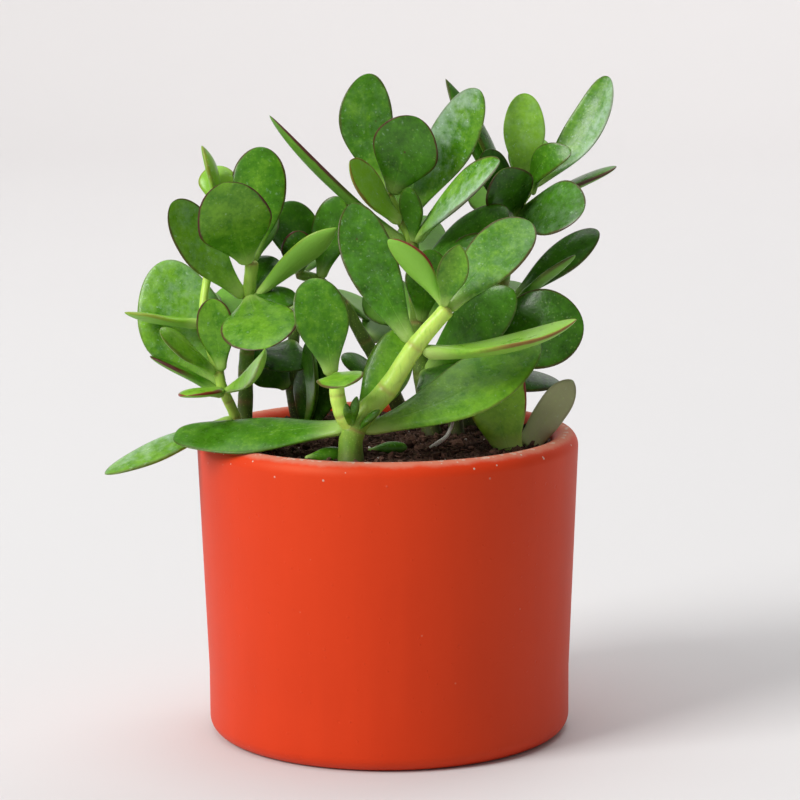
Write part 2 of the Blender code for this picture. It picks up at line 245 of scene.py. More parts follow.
def stem_look():
    """Stem: pale green and glossy on new growth, olive-brown and dotted when woody, with ring scars."""
    look = Look(
        "stem_skin", Specular_IOR_Level=0.35, Subsurface_Weight=0.10, Subsurface_Scale=0.0015
    )
    place = look.place()
    woody, height, scar = (look.field(name) for name in ("woody", "height", "scar"))
    lengthwise = look.stretched(place, (1.0, 1.0, 0.22))
    streaks = look.noise(lengthwise, 900, 3)
    broad = look.noise(place, 140, 3)
    colour = look.mix(woody * 2 + (broad - 0.5) * 0.9 - 0.15, STEM_PALE, STEM_GREEN)
    colour = look.mix(woody * 2 - 1 + (streaks - 0.5) * 0.8, colour, STEM_WOOD)
    colour = look.mix((streaks - 0.5).step(0.02, 0.25) * 0.35, colour, STEM_GREEN)
    specks = look.dots(place, 1300).step(0.28, 0.12) * woody * 0.5
    colour = look.mix(specks, colour, STEM_PALE)
    foot = height.step(7.0, 0.5)
    colour = look.mix(foot * 0.55, colour, STEM_WOOD)
    ring = scar * (0.42 + (broad - 0.5) * 1.5)
    colour = look.mix(ring, colour, SCAR)
    # Dark scar cores, and the stem darker within about 1.6 mm of the soil.
    colour = look.mix(scar.step(0.85, 1.0) * 0.22 + height.step(1.6, 0.2) * 0.7, colour, SCAR_DARK)
    rough = 0.34 + woody * 0.22 + (streaks - 0.5) * 0.15 + foot * 0.1
    bump = streaks * 0.6 + broad - scar * 0.8
    return look.finish(colour, rough, bump, 0.0003, 0.6)


POT_RED = (0.690, 0.038, 0.005)
POT_DEEP = (0.600, 0.030, 0.004)
POT_PALE = (0.640, 0.200, 0.130)
POT_BODY = (0.640, 0.520, 0.430)
POT_CHIP = (0.090, 0.040, 0.030)


def pot_look():
    """Satin painted wall, worn pale along the lip's crest, with fine specks, dots and chips."""
    look = Look("pot_paint", IOR=1.45, Specular_IOR_Level=0.50, Specular_Tint=(1.0, 0.75, 0.42, 1.0))
    place = look.place()
    wear, wall, inside = (look.field(name) for name in ("wear", "wall", "inside"))
    broad = look.noise(place, 14, 3)
    drawn = look.noise(look.stretched(place, (1.0, 1.0, 0.12)), 120, 3)
    fine = look.noise(place, 1400, 3)
    rub = look.noise(place, 160, 4, 0.65)
    colour = look.mix((broad - 0.5) * 1.6 + (drawn - 0.5) * 0.8 + 0.4, POT_RED, POT_DEEP)
    worn = (wear + (rub - 0.5) * 1.1).step(0.40, 1.15)
    colour = look.mix(worn * 0.9, colour, POT_PALE)
    bare = (wear + (look.noise(place, 520, 3) - 0.5) * 1.9).step(1.32, 1.5)
    colour = look.mix(bare * 0.6, colour, POT_BODY)
    near_lip = wall.step(7.0, 4.0)
    keep = look.cells(place, 420)
    speck = look.dots(place, 420).step(0.19, 0.10) * keep.step(0.70, 0.76)
    colour = look.mix(speck * near_lip, colour, POT_BODY)
    dust = look.dots(place, 300).step(0.12, 0.05) * look.cells(place, 300).step(0.95, 0.97)
    colour = look.mix(dust * 0.6, colour, POT_PALE)
    chips = look.dots(place, 330).step(0.20, 0.14) * look.cells(place, 330).step(0.975, 0.985)
    colour = look.mix(chips * near_lip, colour, POT_CHIP)
    # Darker red on the inner wall below the lip.
    colour = look.mix(inside * 0.7, colour, POT_DEEP)
    rough = 0.54 + (broad - 0.5) * 0.10 + worn * 0.2 + (fine - 0.5) * 0.06
    height = drawn * 0.35 + fine * 0.12 + rub * 0.25 - chips * 1.5 + speck * 0.8
    return look.finish(colour, rough, height, 0.0002, 0.5)


SOIL_DARK = (0.034, 0.018, 0.013)
SOIL_BROWN = (0.200, 0.105, 0.075)
SOIL_PALE = (0.560, 0.410, 0.310)
BARK_DARK = (0.045, 0.022, 0.014)
BARK_PALE = (0.420, 0.280, 0.180)
PERLITE_WHITE = (0.740, 0.710, 0.660)
PERLITE_HOLLOW = (0.340, 0.270, 0.210)


def soil_look(name, dark, pale, scale):
    """Crumbly soil or bark: dark, brown and pale patches, rough all over."""
    look = Look(name, IOR=1.4, Specular_IOR_Level=0.2)
    place = look.place()
    tone = look.field("tone")
    grain = look.noise(place, scale, 4, 0.7)
    fine = look.noise(place, scale * 4, 3, 0.6)
    colour = look.mix(tone + (grain - 0.5) * 1.3, dark, SOIL_BROWN)
    colour = look.mix((fine - 0.5).step(0.06, 0.30) * (0.25 + tone * 0.5), colour, pale)
    rough = 0.85 + (grain - 0.5) * 0.2
    return look.finish(colour, rough, grain + fine * 0.5, 0.0008, 1.0)


def perlite_look():
    """White porous grains with grey hollows."""
    look = Look("perlite", IOR=1.4)
    place = look.place()
    pores = look.dots(place, 2600)
    grain = look.noise(place, 1500, 3)
    colour = look.mix(pores.step(0.5, 0.1) * 0.5 + (grain - 0.5), PERLITE_WHITE, PERLITE_HOLLOW)
    return look.finish(colour, 0.8 + (grain - 0.5) * 0.2, pores + grain, 0.0002, 0.8)


# ---------------------------------------------------------------- surfaces


def unit(vectors):
    """The vectors, each scaled to a length of 1."""
    return vectors / np.linalg.norm(vectors, axis=-1, keepdims=True)


def tube_faces(rows, columns):
    """Quads between rings, and a fan of triangles at the pole vertex before and after them."""
    ring = np.arange(columns)
    after = (ring + 1) % columns
    start = 1 + np.arange(rows - 1)[:, None] * columns
    quads = np.stack([start + ring, start + after, start + columns + after, start + columns + ring], -1)
    last = 1 + (rows - 1) * columns
    near = np.stack([np.zeros(columns, int), 1 + after, 1 + ring], -1)
    far = np.stack([np.full(columns, last + columns), last + ring, last + after], -1)
    return quads.reshape(-1, 4), np.concatenate([near, far])


def outward(points, quads, triangles):
    """The faces, turned over if the volume they enclose comes out negative."""
    corners = np.concatenate([quads[:, [0, 1, 2]], quads[:, [0, 2, 3]], triangles])
    a, b, c = (points[corners[:, i]] for i in range(3))
    if np.einsum("ij,ij->", a, np.cross(b, c)) < 0:
        return quads[:, ::-1], triangles[:, ::-1]
    return quads, triangles


def add_piece(name, points, faces, look, slot, stands_for=(), smooth=True, **fields):
    """A mesh object from points in millimetres, with a float attribute for each field."""
    mesh = bpy.data.meshes.new(name)
    mesh.from_pydata((points * MM).tolist(), [], [face for part in faces for face in part.tolist()])
    mesh.polygons.foreach_set("use_smooth", np.full(len(mesh.polygons), smooth))
    for field, values in fields.items():
        values = np.broadcast_to(values, len(points)).astype(np.float32)
        mesh.attributes.new(field, "FLOAT", "POINT").data.foreach_set("value", values)
    mesh.update()
    piece = bpy.data.objects.new(name, mesh)
    bpy.context.scene.collection.objects.link(piece)
    mesh.materials.append(look)
    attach(piece, "root")
    if stands_for:
        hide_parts(*stands_for)
    return piece


def with_poles(grid):
    """The grid's first and last ring closed by the mean point of each, as one list."""
    flat = grid.reshape(-1, *grid.shape[2:])
    return np.concatenate([grid[:1].mean(axis=1), flat, grid[-1:].mean(axis=1)])


def smooth_route(points, steps):
    """A Catmull-Rom curve: between two points, the usual cubic of them and their neighbours."""
    route = np.array([2 * points[0] - points[1], *points, 2 * points[-1] - points[-2]])
    a, b, c, d = (route[i : len(route) - 3 + i][:, None] for i in range(4))
    t = (np.arange(steps) / steps)[None, :, None]
    curve = 0.5 * (2 * b + (c - a) * t + (2 * a - 5 * b + 4 * c - d) * t**2 + (3 * b - a - 3 * c + d) * t**3)
    return np.concatenate([curve.reshape(-1, 3), route[-2:-1]])


def path_lengths(curve):
    """How far along the curve each of its points lies."""
    return np.concatenate([[0], np.cumsum(np.linalg.norm(np.diff(curve, axis=0), axis=1))])


def soil_height(x, y):
    """A low dome with hollows and heaps, from a few waves that cross."""
    r = np.hypot(x, y) / SOIL_RADIUS
    dome = SOIL_TOP - SOIL_DOME * r**2
    waves = np.sin(0.21 * x + 1.0) * np.cos(0.17 * y + 0.6) + 0.6 * np.sin(0.43 * x - 0.37 * y)
    small = 0.35 * np.sin(1.1 * x + 0.6 * y) * np.sin(0.9 * y - 0.5 * x + 2)
    small = small + 0.25 * np.sin(2.3 * x) * np.sin(2.1 * y)
    return dome + 0.38 * waves * (1 - 0.5 * r**4) + 0.4 * small


# ---------------------------------------------------------------- stems

# name: (route, thickness at foot and top, woodiness at foot and top, extra scar heights, slot)
STEMS = {
    "stem_front": (
        [(-11, -41, None), (-10, -40, 7.5), (0, -40.5, 19.5), (8.5, -41, 32.5), (18, -40, 43.5)],
        (7.6, 4.6), (0.62, 0.02), (13,), "stem_green",
    ),
    "stem_left": (
        [(-45, 3, None), (-44.5, 3, 18.5), (-43.5, 1, 31.5), (-43, 0, 42.5), (-42, -2, 53.5)],
        (4.8, 4.0), (0.95, 0.30), (9, 25), "stem_woody",
    ),
    "stem_far_left": (
        [(-46, -6, None), (-47.5, -7, 5.5), (-51, -9.5, 14.5), (-52.5, -9.5, 20), (-57, -5, 35),
         (-56, 1, 49), (-51.5, 6, 69.5)],
        (3.4, 2.2), (0.25, 0.05), (11,), "stem_green",
    ),
    "stem_back_left": (
        [(-28, 17, None), (-30.5, 20, 10.5), (-30, 23, 24.5), (-28, 24, 37.5)],
        (4.6, 3.2), (1.0, 0.7), (5,), "stem_woody",
    ),
    "stem_centre": (
        [(14, 4, None), (11, 7, 16.5), (10, 8, 33.5), (8.5, 6, 49.5), (8, 5, 59), (5, 5, 65.5),
         (0.7, 4, 73.5)],
        (6.0, 3.4), (0.95, 0.35), (8, 25, 41), "stem_woody",
    ),
    "stem_right": (
        [(26, 18, None), (32, 19, 19.5), (37, 18, 44.5), (41, 14, 66.5), (44.5, 10, 74.5)],
        (5.2, 3.4), (0.95, 0.25), (10, 32, 55), "stem_woody",
    ),
    "stem_far_right": (
        [(22, 4, None), (21, 4, 12.5), (23, 4, 23.5), (31, 6, 32.5), (39, 7, 40.5)],
        (4.8, 3.4), (1.0, 0.5), (6,), "stem_woody",
    ),
    "stem_back": (
        [(6, 22, None), (0, 21, 12.5), (-7, 20, 25.5), (-14, 19, 37.5), (-21.5, 18, 45),
         (-28, 18, 47.5)],
        (5.2, 3.2), (1.0, 0.6), (6, 19), "stem_woody",
    ),
    "stem_front_left": (
        [(-10.5, -40.5, 7), (-13.5, -41.5, 12), (-15, -42, 18), (-15, -42, 23.5)],
        (5.0, 4.2), (0.20, 0.05), (), "stem_green",
    ),
}

STEM_STEPS = 14
STEM_FOOT_DEPTH = 3.0
SKIN_COLUMNS, SKIN_RINGS_PER_MM = 28, 2.2


def stem_curve(name):
    """The stem's curve, how far along each point is, its radius and woodiness, and where the scars are."""
    route, (foot, top), woody, scars = STEMS[name][:4]
    points = [np.array([x, y, POT_HEIGHT + h if h is not None else SOIL_TOP]) for x, y, h in route]
    if route[0][2] is None:
        lean = unit(points[1] - points[0])
        points[0] = points[0] - lean * STEM_FOOT_DEPTH
    curve = smooth_route(points, STEM_STEPS)
    at = path_lengths(curve)
    share = at / at[-1]
    rings = at[::STEM_STEPS][1:]
    if scars:
        rings = np.concatenate([rings, np.interp(np.array(scars) + POT_HEIGHT, curve[:, 2], at)])
    near = np.exp(-(((at[:, None] - rings) / 0.9) ** 2)).max(axis=1)
    swell = np.exp(-(((at[:, None] - rings) / 2.2) ** 2)).max(axis=1)
    radius = 0.5 * (foot + (top - foot) * share) * (1 + 0.10 * swell - 0.05 * near)
    if route[0][2] is None:
        radius = radius * (1 + 0.22 * np.exp(-at / 3.5))
    return curve, at, radius, woody[0] + (woody[1] - woody[0]) * share, rings


def tube(centre, reach, columns, uneven=0.0):
    """A ring of points round each point of a curve, its radius out, with a slow wave of it."""
    tangent = unit(np.gradient(centre, axis=0))
    side = unit(np.array([0, 1.0, 0]) - tangent[:, 1:2] * tangent)
    other = np.cross(tangent, side)
    turn = np.linspace(0, 2 * np.pi, columns, endpoint=False)[None, :, None]
    slow = np.sin(np.arange(len(centre)) * 0.21)[:, None, None]
    wobble = 1 + uneven * np.sin(3 * turn + len(centre)) * slow
    ring = np.cos(turn) * side[:, None] + np.sin(turn) * other[:, None]
    points = with_poles(centre[:, None] + reach[:, None, None] * wobble * ring)
    return points, outward(points, *tube_faces(len(centre), columns))


def make_stem(name, look):
    """A tube along the stem's curve: each ring is its radius out from the curve, a little uneven.

    The radius swells at the nodes and scars, dips at the scars themselves and flares at the foot.
    """
    curve, at, radius, woody, rings = stem_curve(name)
    fine = np.linspace(0, at[-1], max(40, int(at[-1] * SKIN_RINGS_PER_MM)))
    centre = np.stack([np.interp(fine, at, curve[:, i]) for i in range(3)], -1)
    centre = np.concatenate([centre, centre[-1:] + unit(centre[-1] - centre[-2]) * np.array([[0.5], [0.8]])])
    reach = np.concatenate([np.interp(fine, at, radius), [radius[-1] * 0.75, radius[-1] * 0.35]])
    points, faces = tube(centre, reach, SKIN_COLUMNS, 0.035)

    def spread(values):
        values = np.concatenate([np.interp(fine, at, values), [values[-1]] * 2])
        return with_poles(np.repeat(values[:, None], SKIN_COLUMNS, axis=1))

    height = points[:, 2] - soil_height(points[:, 0], points[:, 1])
    add_piece(
        name + "_skin", points, faces, look, STEMS[name][4], (name,),
        woody=spread(woody), scar=spread(np.exp(-(((at[:, None] - rings) / 0.55) ** 2)).max(axis=1)),
        height=height,
    )


# ---------------------------------------------------------------- leaves

# name: (node of the stem in the name, reach from base to tip, width, roll in degrees, traits)
# Shape: bow and sway bend the leaf out of and in its own plane as shares of its length, cup
# curls its edges up, wide is where it is widest, petiole is its relative width at the base,
# thick scales its thickness and point sharpens its tip. Look: the youth value runs from 0, dark,
# to 1, yellow-green, and also paints light and shade: it is low on leaves at the back, which is
# painted shade, and raised on leaves that should look lit, which is painted light. Red is its
# margin; the wax value is a pale waxy patch with a painted sheen on it, on its other side if
# negative; old dries it.
LEAVES = {
    "leaf_centre_1": (6, (-9, 4, 36), 17, 0,
                      dict(bow=-0.03, cup=0.1, sway=-0.09, young=0.5, red=0.5, bloom=0.15)),
    "leaf_centre_2": (6, (6, -10, 24), 21, 0, dict(bow=0.05, cup=0.1, wide=0.6, young=0.3, red=0.9)),
    "leaf_centre_3": (5, (21, -10, 40), 16, -10, dict(bow=-0.04, cup=0.2, young=0.56, red=0.4, bloom=-1)),
    "leaf_centre_4": (5, (-15, -11, 21), 13, 30,
                      dict(bow=-0.04, cup=0.25, point=0.3, young=1.1, red=0.7, bloom=0.3)),
    "leaf_centre_5": (4, (-40, -5, 41), 15, 78, dict(bow=-0.03, cup=0.15, point=0.3, young=0.4, red=1.0)),
    "leaf_centre_6": (4, (24, -25, 27), 14, -35,
                      dict(bow=0.04, cup=0.15, point=0.1, young=0.64, red=0.7, bloom=1)),
    "leaf_centre_7": (2, (18, -14, 28), 16, -10, dict(bow=0.05, young=0.35, red=0.6)),
    "leaf_centre_8": (1, (25, -15, 28), 17, 0, dict(bow=0.05, young=0.35, red=0.3)),
    "leaf_right_1": (3, (-19, 8, 41), 12, 40, dict(bow=0.02, point=0.9, wide=0.5, young=0.3, red=0.5)),
    "leaf_right_2": (4, (1, -2, 28), 13, -5,
                     dict(bow=-0.03, cup=0.35, petiole=0.4, young=0.9, red=0.15, bloom=0.3)),
    "leaf_right_3": (4, (10, -11, 16), 10, -15, dict(bow=0.1, cup=0.2, sway=-0.15, young=0.46, red=0.5)),
    "leaf_right_4": (4, (24, -1, 34), 13, -20,
                     dict(bow=-0.05, cup=0.3, sway=0.07, young=0.6, red=0.4, bloom=1)),
    "leaf_right_5": (3, (28, -4, 16), 12, -62, dict(bow=0.03, thick=1.1, young=0.45, red=0.9)),
    "leaf_right_6": (3, (18, -25, 5), 19.5, 0, dict(bow=0.08, cup=0.05, young=0.36, red=0.7, bloom=0.3)),
    "leaf_right_7": (3, (-3, -15, 16), 17, 0, dict(bow=0.1, cup=0.1, young=0.22, red=0.7)),
    "leaf_right_8": (2, (-10, 29, -8), 18, 180, dict(bow=0.08, young=0.4, red=0.5)),
    "leaf_front_1": (4, (-15, 0, 19), 8.5, 140,
                     dict(bow=0.05, cup=0.2, point=0.3, sway=-0.04, young=0.95, red=1.6)),
    "leaf_front_2": (4, (6, -5, 18), 9.5, 10, dict(cup=0.5, point=0.4, young=0.6, red=0.5)),
    "leaf_front_3": (4, (25, 8, 26), 18, -15, dict(bow=0.05, cup=0.15, young=0.55, red=0.8, bloom=0.25)),
    "leaf_front_4": (3, (-16, 17, 39), 16.5, 5,
                     dict(bow=-0.03, cup=0.12, sway=-0.03, young=0.35, red=0.6, bloom=0.1)),
    "leaf_front_5": (3, (45, 4, 10), 17, -60,
                     dict(bow=-0.07, cup=0.15, point=0.3, thick=1.25, young=0.98, red=0.8)),
    "leaf_front_6": (1, (52, 14, 26), 21, -22,
                     dict(bow=-0.03, cup=0.1, sway=0.05, young=0.7, red=0.5, bloom=0.05)),
    "leaf_front_7": (1, (14, 4, 29), 14, 0, dict(bow=0.03, sway=0.05, young=0.68, red=0.3)),
    "leaf_front_8": (1, (-51, 13, -6), 19, 40,
                     dict(bow=-0.03, wide=0.62, petiole=0.4, point=-0.3, young=0.48, red=0.4)),
    "leaf_front_left_1": (3, (-4, 4, 29), 17, 10, dict(bow=0.08, cup=0.1, young=0.52, red=0.4, bloom=0.05)),
    "leaf_front_left_2": (3, (2, -21, 1), 14.5, 0, dict(bow=0.05, cup=0.1, young=0.78, red=0.8)),
    "leaf_far_right_1": (2, (35, -8, 13), 26, 0,
                         dict(bow=0.03, cup=0.05, wide=0.64, sway=-0.03, young=0.28, red=0.6)),
    "leaf_far_right_2": (4, (27, 8, 22), 12, -20, dict(bow=0.02, young=0.32, red=0.5)),
    "leaf_far_right_3": (4, (18, 1, 16), 8, -75, dict(bow=0.03, cup=0.3, young=0.45, red=0.6)),
    "leaf_far_left_1": (2, (-19, 12, 38), 27, -5,
                        dict(bow=-0.02, wide=0.5, sway=-0.05, young=0.7, red=0.3, bloom=0.5)),
    "leaf_far_left_2": (3, (-15, -9, 15), 11, 45, dict(sway=0.04, young=0.75, red=0.5)),
    "leaf_far_left_3": (3, (-4, 2, 22), 12, -10, dict(bow=0, cup=0.2, young=0.66, red=0.9)),
    "leaf_far_left_4": (2, (13, -39, 18), 9, -10, dict(bow=-0.05, cup=0.15, young=0.9, red=0.3, bloom=0.6)),
    "leaf_far_left_5": (2, (-9, -20, 3), 12, 50, dict(bow=0.03, young=0.95, red=1.0)),
    "leaf_far_left_6": (4, (-22, -2, 4), 11, 76, dict(bow=-0.02, point=0.5, young=1.1, red=0.4)),
    "leaf_far_left_7": (6, (-3, 1, 19), 9, 70,
                        dict(bow=0.08, point=0.6, wide=0.4, young=0.95, red=0.4, bloom=0.5)),
    "leaf_far_left_8": (1, (-38, -10, -15), 13, 45,
                        dict(cup=0.1, point=0.2, young=0.68, red=0.5, bloom=0.8)),
    "leaf_left_1": (4, (-5, -15, 27), 23, -5, dict(bow=0.06, cup=0.1, wide=0.58, young=0.62, red=1.0)),
    "leaf_left_2": (3, (-19, -13, 31), 17, 20, dict(bow=-0.04, cup=0.15, young=0.74, red=0.8, bloom=0.45)),
    "leaf_left_3": (4, (3, 12, 34), 18, 0, dict(bow=-0.02, young=0.52, red=0.8)),
    "leaf_left_4": (3, (24, -9, 23), 9, -128, dict(bow=0.03, point=0.6, cup=0.1, young=0.95, red=0.2)),
    "leaf_left_5": (3, (6, -30, -11), 24, 0, dict(bow=0.04, wide=0.6, young=0.66, red=0.9, bloom=0.05)),
    "leaf_back_1": (5, (-4, 3, 20), 16, 10, dict(bow=0.03, young=0.42, red=0.4)),
    "leaf_back_2": (5, (0, -10, 13), 11, 0, dict(bow=0.1, young=0.2, red=1.0)),
    "leaf_back_3": (4, (5, -4, 25), 13, -10, dict(bow=0.03, young=0.4, red=0.5)),
    "leaf_back_4": (3, (8, 30, -4), 20, 180, dict(bow=0.06, young=0.45, red=0.5)),
    "leaf_back_left_1": (3, (-6, 28, -4), 18, 180, dict(bow=0.06, young=0.45, red=0.6)),
}

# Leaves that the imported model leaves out
MORE_LEAVES = {
    "leaf_front_9": (1, (3, -3, 10), 3, 0, dict(bow=0.05, cup=0.2, point=0.4, young=0.45, red=0.2)),
    "leaf_front_10": (1, (5.5, -3, 8), 2.6, -10, dict(bow=0.05, cup=0.2, point=0.4, young=0.4, red=0.2)),
    "leaf_front_11": (1, (0.5, -3.5, 7.5), 2.8, 10,
                      dict(bow=0.05, cup=0.2, point=0.4, young=0.55, red=0.2)),
    "leaf_centre_9": (4, (-2, -7, 18), 8, -30, dict(bow=-0.04, cup=0.3, young=0.4, red=0.3)),
    "leaf_centre_10": (2, (2, -8, 24), 14, 0, dict(bow=0.04, young=0.35, red=0.4)),
    "leaf_centre_11": (3, (26, -11, 20), 15, -20, dict(bow=0.04, young=0.3, red=0.6)),
    "leaf_right_9": (3, (-6, -6, 20), 11, 10, dict(bow=0.04, young=0.25, red=0.4)),
    "leaf_right_10": (3, (-14, 6, 36), 9, 60, dict(bow=0.03, young=0.3, red=0.5)),
    "leaf_far_right_4": (1, (31, 2, 1), 12, -40, dict(bow=0.05, young=0.15, red=0.5)),
    "leaf_back_left_2": (0, (2, -15, 32), 12, -60, dict(bow=-0.03, cup=0.2, young=0.4, red=0.3)),
    "leaf_back_left_3": (0, (5, -10, 26), 16, -20, dict(bow=0.03, young=0.15, red=0.3)),
    "leaf_back_5": (1, (-13, -21, 11), 10, 20, dict(bow=0.05, young=0.3, red=0.3)),
    "leaf_far_left_9": (2, (-20, 3, 11), 9, 71, dict(bow=0.02, young=0.5, red=1.0)),
    "leaf_back_left_4": (1, (-8, -3, 12), 15, 0, dict(bow=0.03, young=0.3, red=0.3)),
    "leaf_left_6": (3, (12, -3, -1), 14, -40, dict(bow=0.06, young=0.35, red=0.3)),
    "leaf_back_left_5": (2, (-4, -14, -7), 20, 10, dict(bow=0.06, young=0.2, red=0.3)),
    "leaf_left_7": (3, (5, 9, 11), 12, -10, dict(bow=0.03, young=0.35, red=0.3)),
    "leaf_far_left_10": (6, (1, 5, 13), 12, 0, dict(bow=0.04, young=0.98, red=0.4)),
    "leaf_centre_12": (3, (4, 26, 14), 17, 180, dict(bow=0.06, young=0.4, red=0.5)),
    "leaf_centre_13": (5, (-4, 24, 18), 15, 170, dict(bow=0.05, young=0.45, red=0.6)),
    "leaf_centre_14": (6, (7, 18, 22), 15, 180, dict(bow=0.04, young=0.5, red=0.6)),
    "leaf_centre_15": (2, (-14, 22, 8), 17, 170, dict(bow=0.06, young=0.35, red=0.4)),
    "leaf_right_11": (4, (3, 22, 14), 15, 180, dict(bow=0.05, young=0.5, red=0.6)),
    "leaf_right_12": (3, (-10, 22, 8), 16, 180, dict(bow=0.05, young=0.4, red=0.5)),
    "leaf_right_13": (1, (12, 26, 6), 18, 180, dict(bow=0.06, young=0.35, red=0.5)),
    "leaf_right_14": (2, (-16, 20, 10), 16, 170, dict(bow=0.06, young=0.4, red=0.5)),
    "leaf_left_8": (4, (0, 22, 18), 17, 180, dict(bow=0.05, young=0.45, red=0.6)),
    "leaf_left_9": (2, (-8, 24, 10), 16, 175, dict(bow=0.06, young=0.4, red=0.6)),
    "leaf_far_left_11": (4, (-4, 24, 8), 15, 180, dict(bow=0.05, young=0.5, red=0.6)),
    "leaf_back_6": (5, (4, 26, 10), 16, 180, dict(bow=0.05, young=0.45, red=0.6)),
    "leaf_back_7": (2, (12, 24, 8), 18, 180, dict(bow=0.06, young=0.35, red=0.4)),
    "leaf_far_right_5": (4, (4, 24, 2), 16, 180, dict(bow=0.06, young=0.4, red=0.5)),
    # Low leaves under the front ones, kept dark by a low youth value: painted shade for the dark gap above
    # the soil.
    "leaf_centre_16": (1, (26, -17, -4), 15, -20, dict(bow=0.08, young=0.25, red=0.3)),
    "leaf_centre_17": (1, (8, -20, -2), 15, 0, dict(bow=0.08, young=0.15, red=0.3)),
    "leaf_far_right_7": (1, (14, -16, -2), 14, 0, dict(bow=0.08, young=0.1, red=0.3)),
    "leaf_far_right_6": (2, (12, 26, 4), 17, 180, dict(bow=0.06, young=0.35, red=0.5)),
}

# Leaf cuttings in the soil: name: (x, y, reach, width, roll, traits)
CUTTINGS = {
    "cutting_1": (38, -20, (-2, 3, 24), 18, 0, dict(petiole=0.5, sway=-0.1, young=0.92, red=1.2)),
    "cutting_2": (43, -13, (15, 8, 17), 10, 10,
                  dict(bow=-0.03, point=0.2, petiole=0.7, young=0.45, red=0.3, old=0.8)),
}

LEAF_ROWS, LEAF_COLUMNS = 34, 36


def width_share(s, petiole, wide, point):
    """Half width at s as a share of the widest: a cosine rise, then the side of an ellipse."""
    rise = (0.5 - 0.5 * np.cos(np.pi * np.clip(s / wide, 0, 1))) ** 0.9
    fall = np.clip((s - wide) / (1 - wide), 0, 1)
    return (petiole + (1 - petiole) * rise) * (1 - fall**2) ** (0.5 + 0.5 * point)


def leaf_surface(base, reach, width, roll, traits, seed):
    """A leaf on a grid of s, from base to tip, and an angle round it.

    Its middle line runs from base to tip and bends as 4s(1-s). Round it lies a lens, as wide as
    the width share and as thick as a flat ellipse of s, fuller below than above. The edges curl
    up as the square of the way across, and wave a little.
    """
    length = np.linalg.norm(reach)
    along = reach / length
    face = unit(FACE_DIRECTION - FACE_DIRECTION @ along * along)
    side = np.cross(along, face)
    turn = math.radians(roll)
    turned = math.cos(turn) * face + math.sin(turn) * side
    face, side = turned, math.cos(turn) * side - math.sin(turn) * face
    s = (0.5 - 0.5 * np.cos(np.linspace(0, np.pi, LEAF_ROWS + 2)))[1:-1, None]
    angle = np.linspace(0, 2 * np.pi, LEAF_COLUMNS, endpoint=False)[None]
    across, out = np.cos(angle), np.sin(angle)
    petiole = traits.get("petiole", 0.26) * min(1, 18 / width)
    end = np.sqrt(1 - (1 - np.clip(s / 0.06, 0, 1)) ** 2)
    half = 0.5 * width * end * width_share(s, petiole, traits.get("wide", 0.62), traits.get("point", 0))
    thin = (1 - np.clip((s - 0.55) / 0.45, 0, 1) ** 2) ** 0.6
    fuller = 0.95 + 0.25 * np.exp(-((s / 0.2) ** 2))
    thick = 0.5 * LEAF_THICKNESS * traits.get("thick", 1) * end * thin * fuller
    thick = np.minimum(thick, half)
    lens = np.sign(out) * np.abs(out) ** 1.05 * np.where(out > 0, 0.85, 1.1)
    phase = seed * 2.399
    wave = 0.030 * half * (np.sin(7 * s + phase) * across + 0.8 * np.cos(9 * s + 2 * phase) * across**2)
    arch = 4 * s * (1 - s)
    cup = traits.get("cup", 0)
    rise = traits.get("bow", 0) * length * arch + thick * lens + cup * half * (across**2 - 0.33) + wave
    shift = traits.get("sway", 0) * length * arch + half * across * (1 + 0.02 * np.sin(11 * s + 3 * phase))
    s_grid = np.broadcast_to(s, rise.shape)
    grid = base + along * (length * s_grid)[..., None] + side * shift[..., None] + face * rise[..., None]
    points = np.concatenate([[base], grid.reshape(-1, 3), [base + reach]])

    def listed(values, first, last):
        return np.concatenate([[first], np.broadcast_to(values, rise.shape).ravel(), [last]])

    fields = dict(
        along=listed(s_grid, 0, 1), across=listed(across, 0, 0), upper=listed(out, 0, 0),
        edge=listed(half * (1 - np.abs(across)), 0, 0),
    )
    return points, outward(points, *tube_faces(LEAF_ROWS, LEAF_COLUMNS)), fields


def leaf_base(stem, node, reach):
    """Where the leaf leaves the stem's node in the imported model: clear of the stem by a gap."""
    foot, top = STEMS[stem][1]
    curve, at = stem_curve(stem)[:2]
    k = node * STEM_STEPS
    tangent = unit(curve[min(k + 5, len(curve) - 1)] - curve[max(k - 5, 0)])
    direction = unit(reach)
    lean = direction @ tangent
    side = unit(direction - lean * tangent)
    radius = 0.5 * (foot + (top - foot) * at[k] / at[-1])
    return curve[k] + side * (radius + LEAF_GAP + 0.5 * LEAF_THICKNESS * abs(lean)), side, radius


def make_leaf(name, row, look, seed, packed):
    """A leaf on the stem that its name gives, from inside the stem to its tip."""
    node, reach, width, roll, traits = row
    stem = "stem_" + name.removeprefix("leaf_").rsplit("_", 1)[0]
    reach = np.array(reach, float)
    base, side, radius = leaf_base(stem, node, reach)
    tip = base + reach
    base = base - side * (LEAF_GAP + 0.7 * radius)
    add_leaf(name, base, tip - base, width, roll, traits, look, seed, packed)


def make_cutting(name, row, look, seed):
    """A leaf set upright in the soil, its base just below the surface."""
    x, y, reach, width, roll, traits = row
    base = np.array([x, y, float(soil_height(x, y)) - 1.0])
    tip = np.array([x, y, SOIL_TOP + 1.5]) + np.array(reach, float)
    add_leaf(name, base, tip - base, width, roll, traits, look, seed, True)


def leaf_slot(traits):
    """The record's finish for a leaf: dried, yellow-green, shaded or usual."""
    if traits.get("old"):
        return "leaf_old"
    if traits["young"] > 0.62:
        return "leaf_young"
    return "leaf_shaded" if traits["young"] < 0.36 else "leaf"


